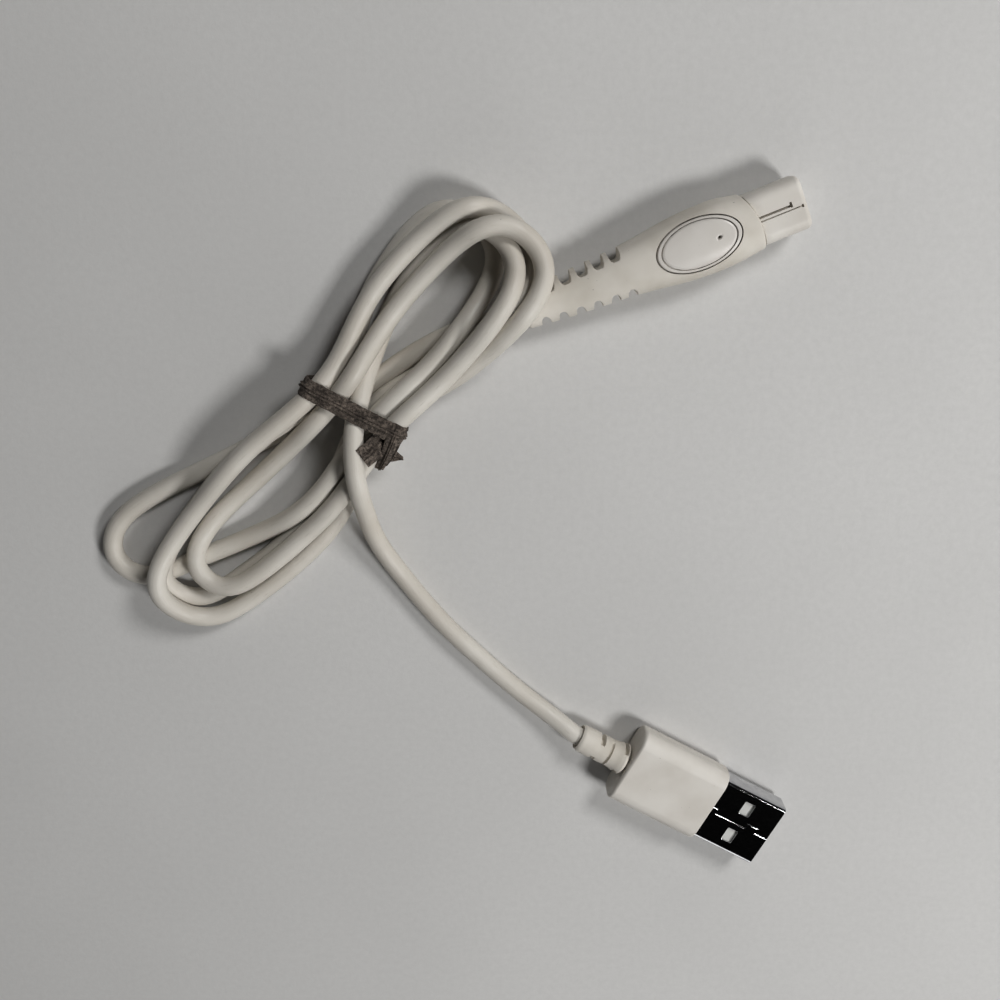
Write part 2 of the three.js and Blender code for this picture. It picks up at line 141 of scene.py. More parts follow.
def route_waypoints():
    """The points that the cord goes through, seen from above, and the rank of each."""
    points = [in_plane(APPLIANCE, x, 0) for x in (RELIEF_REAR + 1, RELIEF_REAR - 3)]
    points += [in_plane(HANK, x, y) for x, y in LEAD_IN]
    ranks = [0] * len(points)
    for crossing, loop in zip(TIE_CROSSINGS, HALF_LOOPS):
        side, reach, (out_middle, out_far), tip, (back_far, back_middle), loop_ranks = loop
        shares = (MIDDLE_SHARE, FAR_SHARE, SHOULDER_SHARE, 1.0, SHOULDER_SHARE, FAR_SHARE, MIDDLE_SHARE)
        out_shoulder = tip + SHOULDER_WIDTH * (out_far - tip)
        back_shoulder = tip + SHOULDER_WIDTH * (back_far - tip)
        across = (out_middle, out_far, out_shoulder, tip, back_shoulder, back_far, back_middle)
        points.append(in_plane(HANK, 0, crossing[0]))
        points += [in_plane(HANK, side * reach * share, y) for share, y in zip(shares, across)]
        ranks += [crossing[1], *loop_ranks[:3], loop_ranks[2], loop_ranks[2], *loop_ranks[3:]]
    points.append(in_plane(HANK, 0, TIE_CROSSINGS[-1][0]))
    ranks.append(TIE_CROSSINGS[-1][1])
    points += UNDER_TIE + [(x, y) for x, y, _ in TAIL_POINTS] + [in_plane(USB, CORD_END_IN_BUSHING, 0)]
    ranks += [TAIL_RANK] * (len(UNDER_TIE) + len(TAIL_POINTS) + 1)
    return np.array(points), np.array(ranks, float)


def centripetal(points, values, count=24):
    """A centripetal Catmull-Rom curve through the points, with the values carried along it."""
    ends = np.vstack([2 * points[0] - points[1], points, 2 * points[-1] - points[-2]])
    curve, carried = [], []
    for i in range(1, len(ends) - 2):
        p0, p1, p2, p3 = ends[i - 1:i + 3]
        t1 = math.sqrt(np.linalg.norm(p1 - p0))
        t2 = t1 + math.sqrt(np.linalg.norm(p2 - p1))
        t3 = t2 + math.sqrt(np.linalg.norm(p3 - p2))
        t = np.linspace(t1, t2, count, endpoint=False)[:, None]
        a1 = (t1 - t) / t1 * p0 + t / t1 * p1
        a2 = (t2 - t) / (t2 - t1) * p1 + (t - t1) / (t2 - t1) * p2
        a3 = (t3 - t) / (t3 - t2) * p2 + (t - t2) / (t3 - t2) * p3
        b1 = (t2 - t) / t2 * a1 + t / t2 * a2
        b2 = (t3 - t) / (t3 - t1) * a2 + (t - t1) / (t3 - t1) * a3
        curve.append((t2 - t) / (t2 - t1) * b1 + (t - t1) / (t2 - t1) * b2)
        carried.append(values[i - 1] + (values[i] - values[i - 1]) * (t[:, 0] - t1) / (t2 - t1))
    return np.vstack(curve + [points[-1:]]), np.concatenate(carried + [values[-1:]])


def blurred(values, sigma):
    """The values after a Gaussian filter that many samples wide."""
    reach = int(4 * sigma) + 1
    kernel = np.exp(-0.5 * (np.arange(-reach, reach + 1) / sigma) ** 2)
    padded = np.concatenate([np.full(reach, values[0]), values, np.full(reach, values[-1])])
    return np.convolve(padded, kernel / kernel.sum(), "valid")


def evenly(points, ranks, step):
    """The same curve in even steps, with its ranks and the distance along it."""
    lengths = np.linalg.norm(np.diff(points, axis=0), axis=1)
    along = np.concatenate([[0], np.cumsum(lengths)])
    stations = np.linspace(0, along[-1], int(round(along[-1] / step)) + 1)
    columns = [np.interp(stations, along, points[:, k]) for k in range(points.shape[1])]
    return np.array(columns).T, np.interp(stations, along, ranks), stations


BEND_SOFTNESS = 2.6
END_FADE = 12.0


def plan_route():
    """The route seen from above: smooth, in even steps, with each point's rank and distance along it."""
    points, ranks, along = evenly(*centripetal(*route_waypoints()), ROUTE_STEP)
    inner = np.clip(np.minimum(along, along[-1] - along) / END_FADE, 0, 1)[:, None]
    soft = np.array([blurred(points[:, k], BEND_SOFTNESS / ROUTE_STEP) for k in range(2)]).T
    return evenly(points * (1 - inner) + soft * inner, ranks, ROUTE_STEP)


SETTLE_STEPS = 1500
SETTLE_FALL = 0.08
SETTLE_STIFFNESS = 3.0
NEIGHBOUR_GAP = 9.0
LYING_GAP = 0.1
RELIEF_HALF_WIDTH = 2.6
RELIEF_LEAD = 40
TIE_AT = -0.9
TIE_LIFT = 1.0
TIE_LIFT_REACH = 14
TIE_LIFT_FADE = 5


def settled_heights(points, ranks, along):
    """Height of the cord's centre: it falls, bends stiffly, and rests on the floor and on lower strands."""
    count = len(points)
    first, second = np.triu_indices(count, int(NEIGHBOUR_GAP / ROUTE_STEP))
    distance = np.linalg.norm(points[first] - points[second], axis=1)
    near = distance < CORD_DIAMETER
    first, second, distance = first[near], second[near], distance[near]
    above = np.where(ranks[first] > ranks[second], first, second)
    below = np.where(ranks[first] > ranks[second], second, first)
    lift = np.sqrt((CORD_DIAMETER + LYING_GAP) ** 2 - distance ** 2)
    floor = np.full(count, CORD_RADIUS)
    relief = np.array([in_plane(APPLIANCE, x, 0) for x in np.arange(RELIEF_REAR, RELIEF_FRONT, 0.5)])
    to_relief = np.linalg.norm(points[:, None] - relief[None], axis=2).min(axis=1)
    over = (to_relief < CORD_RADIUS + RELIEF_HALF_WIDTH) & (along > RELIEF_LEAD)
    reach = CORD_RADIUS + RELIEF_HALF_WIDTH + 0.1
    floor[over] = APPLIANCE_AXIS + 0.8 * np.sqrt(reach ** 2 - to_relief[over] ** 2)
    to_tie = np.linalg.norm(points - np.array(in_plane(HANK, TIE_AT, 0)), axis=1)
    floor = floor + TIE_LIFT * np.clip((TIE_LIFT_REACH - to_tie) / TIE_LIFT_FADE, 0, 1)
    free = (ranks == TAIL_RANK) & (points[:, 1] < TAIL_HELD_FROM)
    tail_y, tail_z = np.array(TAIL_POINTS)[::-1, 1:].T
    floor[free] = np.interp(points[free, 1], tail_y, tail_z)

    def held(z):
        z = np.maximum(z, floor)
        z[free] = floor[free]
        z[:5] = APPLIANCE_AXIS
        z[-4:] = USB_AXIS
        return z

    z = held(CORD_RADIUS + 0.5 * ranks)
    for _ in range(SETTLE_STEPS):
        z = z + 0.5 * (blurred(z, SETTLE_STIFFNESS) - z) - SETTLE_FALL
        for _ in range(3):
            overlap = np.maximum(lift - (z[above] - z[below]), 0)
            push, drop = np.zeros(count), np.zeros(count)
            np.maximum.at(push, above, overlap)
            np.maximum.at(drop, below, overlap)
            z = held(z + 0.5 * push - 0.5 * drop)
    return blurred(z, 1.5 / ROUTE_STEP)


PLAN, RANKS, ALONG = plan_route()
ROUTE = np.column_stack([PLAN, settled_heights(PLAN, RANKS, ALONG)])


# Mesh building.
def loft(rings, closed=False):
    """Points and faces of a skin over rings of equally many points, capped unless it closes on itself."""
    size, count = len(rings[0]), len(rings)
    points = [tuple(point) for ring in rings for point in ring]
    faces = []
    for i in range(count if closed else count - 1):
        here, there = i * size, (i + 1) % count * size
        for k in range(size):
            following = (k + 1) % size
            faces.append((here + k, here + following, there + following, there + k))
    if not closed:
        faces.append(tuple(reversed(range(size))))
        faces.append(tuple(range((count - 1) * size, count * size)))
    return points, faces


def shade(obj, angle):
    """Joins doubled points, and shades smooth all edges that turn by less than the angle."""
    mesh = obj.data
    build = bmesh.new()
    build.from_mesh(mesh)
    bmesh.ops.remove_doubles(build, verts=build.verts, dist=1e-8)
    bmesh.ops.recalc_face_normals(build, faces=build.faces)
    build.to_mesh(mesh)
    build.free()
    mesh.shade_smooth()
    mesh.set_sharp_from_angle(angle=math.radians(angle))


def make(name, points, faces, place, material, sharp=32):
    """A mesh object from points in a sub-assembly's frame, in millimetres."""
    mesh = bpy.data.meshes.new(name)
    mesh.from_pydata([metres(place, *point) for point in points], [], faces)
    obj = bpy.data.objects.new(name, mesh)
    bpy.context.scene.collection.objects.link(obj)
    if material is not None:
        mesh.materials.append(material)
    shade(obj, sharp)
    return obj


def apply_modifiers(obj):
    """Makes the modifiers' result the object's own mesh."""
    evaluated = obj.evaluated_get(bpy.context.evaluated_depsgraph_get())
    mesh = bpy.data.meshes.new_from_object(evaluated)
    obj.modifiers.clear()
    old = obj.data
    obj.data = mesh
    bpy.data.meshes.remove(old)


def carve(obj, cutters, sharp=32, bevel=0.0):
    """Cuts the cutters out of obj, rounds the sharp edges by the bevel's width, and deletes the cutters."""
    for cutter in cutters:
        modifier = obj.modifiers.new("cut", "BOOLEAN")
        modifier.operation = "DIFFERENCE"
        modifier.solver = "EXACT"
        modifier.object = cutter
    apply_modifiers(obj)
    for cutter in cutters:
        bpy.data.objects.remove(cutter)
    if bevel:
        modifier = obj.modifiers.new("edges", "BEVEL")
        modifier.width = bevel * MM
        modifier.segments = 2
        modifier.limit_method = "ANGLE"
        modifier.angle_limit = math.radians(40)
        apply_modifiers(obj)
    shade(obj, sharp)
    modifier = obj.modifiers.new("flat faces stay flat", "WEIGHTED_NORMAL")
    modifier.keep_sharp = True
    modifier.weight = 100
    apply_modifiers(obj)
    return obj


def rounded_ring(x, width, height, corner, per_corner=7):
    """A rounded rectangle across the x axis, as a ring of points."""
    ring = []
    for quarter, (side_y, side_z) in enumerate([(1, 1), (-1, 1), (-1, -1), (1, -1)]):
        for step in range(per_corner + 1):
            angle = math.pi / 2 * (quarter + step / per_corner)
            y = side_y * (width / 2 - corner) + corner * math.cos(angle)
            z = side_z * (height / 2 - corner) + corner * math.sin(angle)
            ring.append((x, y, z))
    return ring


def circle_ring(x, radius, count=32, y=0.0):
    """A circle across the x axis, as a ring of points."""
    angles = [2 * math.pi * k / count for k in range(count)]
    return [(x, y + radius * math.cos(a), radius * math.sin(a)) for a in angles]


def prism(name, outline, bottom, top, place):
    """An upright prism on a plan outline."""
    lower = [(x, y, bottom) for x, y in outline]
    upper = [(x, y, top) for x, y in outline]
    return make(name, *loft([lower, upper]), place, None)


def rectangle(x0, x1, y0, y1):
    return [(x0, y0), (x1, y0), (x1, y1), (x0, y1)]


def band_outline(line, half):
    """The outline of a line drawn with a constant half width, mitred at its bends."""
    line = [Vector(p) for p in line]
    left, right = [], []
    for i, point in enumerate(line):
        before = (point - line[i - 1]).normalized() if i else (line[1] - point).normalized()
        after = (line[i + 1] - point).normalized() if i < len(line) - 1 else before
        normal = Vector((-before.y - after.y, before.x + after.x))
        normal /= max(normal.dot(Vector((-before.y, before.x))), 0.3)
        left.append(tuple(point + normal * half))
        right.append(tuple(point - normal * half))
    return left + right[::-1]


def smooth_table(table, x):
    """The value at x of a smooth curve through a table of (x, value) pairs."""
    xs, values = np.array(table, float).T
    slopes = np.gradient(values, xs)
    k = int(np.clip(np.searchsorted(xs, x) - 1, 0, len(xs) - 2))
    span = xs[k + 1] - xs[k]
    t = min(max((x - xs[k]) / span, 0.0), 1.0)
    return (values[k] * (1 + 2 * t) * (1 - t) ** 2 + slopes[k] * span * t * (1 - t) ** 2
            + values[k + 1] * t * t * (3 - 2 * t) + slopes[k + 1] * span * t * t * (t - 1))


# Materials.
class Material:
    """A node material in the making: add() makes a node and sets or links its inputs by name."""

    def __init__(self, name):
        self.data = bpy.data.materials.new(name)
        self.data.use_nodes = True
        self.tree = self.data.node_tree
        self.tree.nodes.clear()
        self.output = self.tree.nodes.new("ShaderNodeOutputMaterial")
        self.place = self.tree.nodes.new("ShaderNodeTexCoord").outputs["Object"]

    def add(self, kind, inputs=None, out=0, **settings):
        node = self.tree.nodes.new("ShaderNode" + kind)
        for key, value in settings.items():
            setattr(node, key, value)
        for key, value in (inputs or {}).items():
            if isinstance(value, bpy.types.NodeSocket):
                self.tree.links.new(value, node.inputs[key])
            else:
                node.inputs[key].default_value = value
        return node.outputs[out]

    def noise(self, scale, detail=4.0, roughness=0.55, place=None):
        return self.add("TexNoise", {
            "Vector": place or self.place, "Scale": scale, "Detail": detail, "Roughness": roughness,
        })

    def spread(self, value, low, high, to_low=0.0, to_high=1.0):
        return self.add("MapRange", {
            "Value": value, "From Min": low, "From Max": high, "To Min": to_low, "To Max": to_high,
        })

    def mix(self, share, first, second):
        node = self.tree.nodes.new("ShaderNodeMix")
        node.data_type = "RGBA"
        for socket, value in ((node.inputs[0], share), (node.inputs[6], first), (node.inputs[7], second)):
            if isinstance(value, bpy.types.NodeSocket):
                self.tree.links.new(value, socket)
            else:
                socket.default_value = value
        return node.outputs[2]

    def bump(self, height, distance, normal=None):
        inputs = {"Height": height, "Distance": distance * MM, "Strength": 1.0}
        if normal is not None:
            inputs["Normal"] = normal
        return self.add("Bump", inputs)

    def finish(self, **inputs):
        surface = self.add("BsdfPrincipled", {key.replace("_", " "): value for key, value in inputs.items()})
        self.tree.links.new(surface, self.output.inputs["Surface"])
        return self.data


def colour(red, green, blue):
    """A colour from display values of 0 to 255."""
    def linear(value):
        value /= 255
        return value / 12.92 if value <= 0.04045 else ((value + 0.055) / 1.055) ** 2.4
    return (linear(red), linear(green), linear(blue), 1.0)


def moulded_plastic(name, clean, handled, roughness, grain, speck=0.0, dirt_and_shade=""):
    """Moulded plastic: cloudy tone, a fine spark-eroded grain, handling dirt, specks, and dirt with painted
    shade by attribute.
    """
    m = Material(name)
    clouds = m.noise(120, 3)
    tone = m.mix(m.spread(clouds, 0.38, 0.68), clean, handled)
    if speck:
        dots = m.spread(m.noise(1500, 2, 0.7), 0.745, 0.77, 0.0, speck)
        tone = m.mix(dots, tone, colour(96, 88, 78))
    if dirt_and_shade:
        # The attribute darkens the tone: dirt together with painted shade in the badge's grooves and its pit.
        caught_dirt_and_shade = m.add("Attribute", out=2, attribute_name=dirt_and_shade)
        tone = m.mix(m.spread(caught_dirt_and_shade, 0.1, 0.9, 0.0, 0.9), tone, colour(58, 50, 42))
    fine = m.noise(9000, 3, 0.6)
    scratches = m.noise(900, 6, 0.7)
    rough = m.spread(scratches, 0.3, 0.7, roughness - 0.07, roughness + 0.09)
    normal = m.bump(fine, grain)
    normal = m.bump(m.noise(260, 2), 0.03, normal=normal)
    return m.finish(Base_Color=tone, Roughness=rough, Normal=normal)


def cord_jacket():
    """Soft jacket: warm white, with rub marks along its length, dirt, specks and a faint extrusion ripple."""
    m = Material("cord_jacket")
    along = m.add("UVMap", uv_map="along")
    stretched = m.add("Mapping", {"Vector": along, "Scale": (0.16, 1.0, 1.0)})
    clouds = m.noise(55, 4)
    tone = m.mix(m.spread(clouds, 0.36, 0.7), colour(214, 210, 202), colour(198, 192, 182))
    rubbed = m.spread(m.noise(2.6, 6, 0.65, stretched), 0.58, 0.74, 0.0, 0.5)
    tone = m.mix(rubbed, tone, colour(178, 170, 158))
    dirt_and_shade = m.spread(m.noise(1300, 3, 0.75), 0.73, 0.76, 0.0, 0.65)
    tone = m.mix(dirt_and_shade, tone, colour(92, 82, 70))
    rough = m.spread(m.noise(700, 5, 0.7), 0.3, 0.7, 0.40, 0.58)
    ripple = m.add("Mapping", {"Vector": along, "Scale": (0.25, 3.0, 1.0)})
    normal = m.bump(m.noise(1.2, 3, 0.5, ripple), 0.03)
    normal = m.bump(m.noise(5200, 3), 0.012, normal=normal)
    return m.finish(Base_Color=tone, Roughness=rough, Normal=normal)


def tie_paper():
    """Grey-brown paper tie: felted fibres, creases and pale flecks."""
    m = Material("tie_paper")
    fibres = m.noise(2300, 8, 0.8)
    coarse = m.noise(520, 6, 0.75)
    tone = m.mix(m.spread(fibres, 0.40, 0.62), colour(34, 29, 25), colour(140, 128, 117))
    tone = m.mix(m.spread(coarse, 0.46, 0.66), tone, colour(50, 43, 38))
    flecks = m.spread(m.noise(3600, 4, 0.8), 0.64, 0.70, 0.0, 0.75)
    tone = m.mix(flecks, tone, colour(186, 177, 167))
    rough = m.spread(coarse, 0.3, 0.7, 0.72, 0.95)
    normal = m.bump(fibres, 0.16)
    normal = m.bump(coarse, 0.2, normal=normal)
    return m.finish(Base_Color=tone, Roughness=rough, Normal=normal)


def plated_steel():
    """Nickel-plated sheet: dark mirror with fine handling scratches and a soft waviness."""
    m = Material("shell_steel")
    streaks = m.add("Mapping", {"Vector": m.place, "Rotation": (0, 0, math.radians(28.8)),
                                "Scale": (1.0, 9.0, 1.0)})
    scratches = m.noise(1700, 6, 0.75, streaks)
    tone = m.mix(m.spread(m.noise(500, 4), 0.35, 0.7), colour(208, 208, 209), colour(188, 189, 192))
    rough = m.spread(scratches, 0.45, 0.75, 0.045, 0.15)
    normal = m.bump(scratches, 0.004)
    normal = m.bump(m.noise(180, 2), 0.03, normal=normal)
    return m.finish(Base_Color=tone, Metallic=1.0, Roughness=rough, Normal=normal)


def contact_metal(name, bright, dull, roughness):
    """Plated contact metal, a little tarnished and wiped."""
    m = Material(name)
    tone = m.mix(m.spread(m.noise(900, 5, 0.7), 0.35, 0.7), bright, dull)
    rough = m.spread(m.noise(2200, 4), 0.3, 0.7, roughness - 0.06, roughness + 0.12)
    return m.finish(Base_Color=tone, Metallic=1.0, Roughness=rough, Normal=m.bump(m.noise(2600, 3), 0.01))


WHITE_PLASTIC = moulded_plastic("white_plastic", colour(222, 218, 211), colour(211, 206, 198), 0.50, 0.010,
                                speck=0.5)
SOFT_WHITE = moulded_plastic("soft_white", colour(218, 213, 204), colour(203, 197, 186), 0.56, 0.022,
                             speck=0.6)
# The badge's plastic darkens by attribute with dirt and painted shade in its grooves and pit.
BADGE_WHITE = moulded_plastic("badge_white", colour(218, 214, 208), colour(210, 205, 198), 0.34, 0.004,
                              dirt_and_shade="dirt_and_shade")
INSULATOR = moulded_plastic("insulator", colour(214, 214, 210), colour(200, 200, 196), 0.45, 0.008)
RED_WIRE = moulded_plastic("red_wire", colour(176, 40, 32), colour(150, 30, 26), 0.45, 0.008)
BLACK_WIRE = moulded_plastic("black_wire", colour(30, 30, 32), colour(20, 20, 22), 0.45, 0.008)
CORD_JACKET = cord_jacket()
TIE_PAPER = tie_paper()
SHELL_STEEL = plated_steel()
GOLD_PLATE = contact_metal("gold_plate", colour(214, 176, 98), colour(190, 148, 78), 0.28)
BRASS = contact_metal("brass_sleeve", colour(196, 168, 104), colour(168, 138, 80), 0.34)


# The cord: a round tube along the route, its turning kept even by carrying one direction along.
CORD_SIDES = 28
CORD_SWELL = 0.012
CORD_SWELL_RATE = 0.11


def cord_tube(route, radius):
    """Rings round the route, with a faint unevenness, pressed flat where they would go below the floor."""
    tangents = np.gradient(route, axis=0)
    tangents /= np.linalg.norm(tangents, axis=1)[:, None]
    side = np.cross(tangents[0], (0, 0, 1.0))
    rings = []
    for i, (point, tangent) in enumerate(zip(route, tangents)):
        side = side - tangent * side.dot(tangent)
        side /= np.linalg.norm(side)
        up = np.cross(side, tangent)
        swell = radius * (1 + CORD_SWELL * noise.noise(Vector((i * CORD_SWELL_RATE, 3.7, 0))))
        ring = []
        for k in range(CORD_SIDES):
            angle = 2 * math.pi * k / CORD_SIDES
            corner = point + swell * (math.cos(angle) * side + math.sin(angle) * up)
            ring.append((corner[0], corner[1], max(corner[2], 0.0)))
        rings.append(ring)
    return rings


def add_cord():
    rings = cord_tube(ROUTE, CORD_RADIUS)
    points, faces = loft(rings)
    mesh = bpy.data.meshes.new("cord")
    mesh.from_pydata([Vector(p) * MM for p in points], [], faces)
    uv = mesh.uv_layers.new(name="along")
    turn = math.pi * CORD_DIAMETER
    for polygon in mesh.polygons:
        columns = [v % CORD_SIDES for v in polygon.vertices]
        wraps = max(columns) - min(columns) > 1
        for loop, vertex, column in zip(polygon.loop_indices, polygon.vertices, columns):
            share = 1.0 if wraps and column == 0 else column / CORD_SIDES
            uv.data[loop].uv = (vertex // CORD_SIDES * ROUTE_STEP, share * turn)
    mesh.materials.append(CORD_JACKET)
    cord = bpy.data.objects.new("cord", mesh)
    bpy.context.scene.collection.objects.link(cord)
    mesh.shade_smooth()
    mesh.set_sharp_from_angle(angle=math.radians(50))
    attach(cord, "hank")
    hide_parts("cord_hank", "cord_tail")
    return cord


CORD = add_cord()


# Strain relief of the appliance plug: a flattened taper with rounded notches down both sides.
RELIEF_POWER = 2.2
RELIEF_ROUNDING = 0.3
GRIP_POWER = 2.6
FLAT_BOTTOM = 0.94
# One moulding: half widths and half heights run on from the relief into the grip.
HALF_WIDTHS = [
    (-27.5, 2.7), (-22, 3.25), (-16, 3.62), (-11, 3.9), (-8, 4.25), (-3, 4.9), (1.2, 5.15), (5, 5.05),
    (7.6, 4.7), (9.6, 4.35),
]
HALF_HEIGHTS = [
    (-27.5, 2.15), (-22, 2.42), (-16, 2.95), (-11, 3.44), (-7, 3.77), (-2, 4.1), (4, 4.1), (9.6, 3.81),
]
# Notches on each side: their middles, half length, depth and squareness.
NOTCHES = {
    1: ([-12.1, -14.7, -17.3, -20.0, -22.7, -25.3], 0.92, 1.75, 4.0),
    -1: ([-11.3, -13.9, -16.7, -19.4, -22.1, -24.8], 0.72, 1.25, 2.6),
}


def superellipse(x, half_width, half_height, power, count=96):
    """A superellipse across the x axis, with a flattened bottom as far below the axis as its top is above."""
    half_top, half_bottom = half_height, half_height / FLAT_BOTTOM
    ring = []
    for k in range(count):
        angle = 2 * math.pi * k / count
        c, s = math.cos(angle), math.sin(angle)
        y = half_width * math.copysign(abs(c) ** (2 / power), c)
        z = math.copysign(abs(s) ** (2 / power), s)
        ring.append((x, y, max(z, -FLAT_BOTTOM) * (half_top if z > 0 else half_bottom)))
    return ring


def notch_depth(x, side):
    """How deep the side is cut in at x."""
    middles, half_length, depth, squareness = NOTCHES[side]
    offset = min(abs(x - middle) for middle in middles) / half_length
    return depth * (1 - offset ** squareness) ** 0.5 if offset < 1 else 0.0


def add_appliance_relief():
    rings = [circle_ring(RELIEF_REAR + 1.2, 1.62, 96), circle_ring(RELIEF_REAR + 0.1, 1.72, 96)]
    stations = [RELIEF_REAR + RELIEF_ROUNDING * (1 - math.cos(math.radians(a))) for a in (0, 30, 60, 90)]
    stations += list(np.arange(RELIEF_REAR + 0.4, RELIEF_FRONT, 0.08)) + [RELIEF_FRONT]
    for x in stations:
        edge = min((x - RELIEF_REAR) / RELIEF_ROUNDING, 1.0)
        shrink = RELIEF_ROUNDING * (1 - math.sqrt(1 - (1 - edge) ** 2))
        half_width = smooth_table(HALF_WIDTHS, x) - shrink
        half_height = smooth_table(HALF_HEIGHTS, x) - shrink
        power = RELIEF_POWER + (GRIP_POWER - RELIEF_POWER) * min(max((x + 24) / 12, 0), 1)
        limits = {side: half_width - notch_depth(x, side) for side in (1, -1)}
        ring = superellipse(x, half_width, half_height, power)
        rings.append([(px, min(max(py, -limits[-1]), limits[1]), pz) for px, py, pz in ring])
    relief = make("appliance_relief", *loft(rings), APPLIANCE, SOFT_WHITE, 38)
    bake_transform(relief)
    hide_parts("appliance_strain_relief")


add_appliance_relief()

# Appliance plug: the grip, its oval badge and the rigid head.
PLUG_SIDES = 160
OVAL_SIDES = 180
HEAD_FRONT = 16.65
HEAD_WIDTH = 8.0
HEAD_HEIGHT = 6.2
HEAD_CORNER = 1.6
HEAD_EDGE = 0.75
HEAD_STEM = (7.0, 4.4, 0.9)
KEYWAY_DEPTH = 0.75
GROOVE_DEPTH = 0.4
BORE_OFFSET = 1.8
BADGE_HALF_ALONG = 6.5
BADGE_HALF_ACROSS = 3.75
BADGE_GAP = 0.12
BADGE_FLOOR = 2.75
# The curved seam between grip and head, as (y, x), and where an uncurved seam would be.
SEAM_ARC = [(-5.5, 9.3), (-3.4, 9.35), (-1.5, 9.4), (0.4, 9.25), (2.35, 8.7), (3.9, 8.1), (5.5, 7.4)]
SEAM_MIDDLE = 9.0
SEAM_GAP = 0.1
GRIP_LIP = 0.16


def seam(y):
    """Where along x the seam is, for a distance across."""
    return smooth_table(SEAM_ARC, min(max(y, SEAM_ARC[0][0]), SEAM_ARC[-1][0]))


def crown(x, y):
    """Height of the grip's top above its axis."""
    share = min(abs(y) / smooth_table(HALF_WIDTHS, x), 0.999)
    return smooth_table(HALF_HEIGHTS, x) * (1 - share ** GRIP_POWER) ** (1 / GRIP_POWER)


def grip_ring(x, lip=0.0):
    """The grip's section at x, drawn in by the lip's rounding."""
    half_width = smooth_table(HALF_WIDTHS, x) - lip
    half_height = smooth_table(HALF_HEIGHTS, x) - lip
    return superellipse(x, half_width, half_height, GRIP_POWER, PLUG_SIDES)


def bent_to_seam(ring, x, offset):
    """Moves a ring's points along x so that it keeps a constant distance from the curved seam."""
    share = min(max((x - 4.0) / 4.2, 0.0), 1.0)
    return [(px + share * (seam(py) - SEAM_MIDDLE + offset), py, pz) for px, py, pz in ring]


def resampled(ring, count):
    """The same closed ring with evenly spaced points, starting where it crosses the +y axis."""
    points = np.array(ring + ring[:1])
    along = np.concatenate([[0], np.cumsum(np.linalg.norm(np.diff(points, axis=0), axis=1))])
    stations = np.linspace(0, along[-1], count, endpoint=False)
    return [tuple(np.interp(s, along, points[:, k]) for k in range(3)) for s in stations]


def from_side(x, width, height, corner, count):
    """A rounded rectangle that starts in the middle of its +y side, as the superellipse does."""
    return resampled([(x, width / 2, 0.0)] + rounded_ring(x, width, height, corner, 9), count)


def add_grip():
    rings = [grip_ring(RELIEF_FRONT - 0.05)]
    stations = list(np.arange(RELIEF_FRONT, 8.75, 0.25)) + [8.8, 8.9, 8.96, SEAM_MIDDLE]
    for x in stations:
        over_lip = max((x - SEAM_MIDDLE + GRIP_LIP) / GRIP_LIP, 0)
        lip = GRIP_LIP * (1 - math.sqrt(max(1 - over_lip ** 2, 0)))
        rings.append(bent_to_seam(grip_ring(x, lip), x, 0.0))
    # The hollow from the seam back to the cord's hole, as (x, width, height, corner).
    inner = [from_side(x, width, height, corner, PLUG_SIDES) for x, width, height, corner in (
        (SEAM_MIDDLE, 7.3, 4.7, 1.0), (2.2, 7.3, 4.7, 1.0), (2.2, 5.2, 3.8, 0.6), (-8.5, 5.2, 3.8, 0.6),
        (-8.5, 3.4, 3.4, 1.7), (RELIEF_FRONT - 0.05, 3.4, 3.4, 1.7))]
    inner[0] = bent_to_seam(inner[0], SEAM_MIDDLE, 0.0)
    grip = make("appliance_grip_cover", *loft(rings + inner, closed=True), APPLIANCE, SOFT_WHITE, 38)
    half_along, half_across = BADGE_HALF_ALONG + BADGE_GAP, BADGE_HALF_ACROSS + BADGE_GAP
    oval = [(half_along * math.cos(a), half_across * math.sin(a))
            for a in np.linspace(0, 2 * math.pi, OVAL_SIDES, endpoint=False)]
    carve(grip, [prism("cutter", oval, BADGE_FLOOR, 6.0, APPLIANCE)], 30)
    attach(grip, "appliance_plug")
    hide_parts("appliance_grip")


BADGE_FIELD = 0.12
BADGE_RIM = 0.05
# Shares of the way to the rim: where the field slopes down, the groove begins and ends, and the rim rounds.
FIELD_END, GROOVE_START, GROOVE_END, RIM_ROUND = 0.82, 0.865, 0.90, 0.965


def badge_lift(share):
    """Height of the badge above the grip's crown, by the share of the way from its middle to its rim."""
    if share > RIM_ROUND:
        return BADGE_RIM - 0.34 * ((share - RIM_ROUND) / (1 - RIM_ROUND)) ** 2
    if share > GROOVE_END:
        return BADGE_RIM
    if share > GROOVE_START:
        return BADGE_RIM - 0.30 * math.sin((share - GROOVE_START) / (GROOVE_END - GROOVE_START) * math.pi)
    if share > FIELD_END:
        fall = (GROOVE_START - share) / (GROOVE_START - FIELD_END)
        return BADGE_RIM + (BADGE_FIELD - BADGE_RIM) * fall
    return BADGE_FIELD


PIT_PLACE = (3.0, -0.1)
PIT_DEPTH = 0.55
# Half width of each dark band of dirt and painted shade, as a share of the way to the rim.
DIRT_AND_SHADE_HALF_WIDTH = 0.022


def badge_pit(x, y):
    """1 in the small pit near the badge's front end, 0 away from it."""
    along, across = x - PIT_PLACE[0], y - PIT_PLACE[1]
    length, width = along * 0.9 + across * 0.45, across * 0.9 - along * 0.45
    return math.exp(-((length ** 2 / 0.10 + width ** 2 / 0.04) ** 1.5))


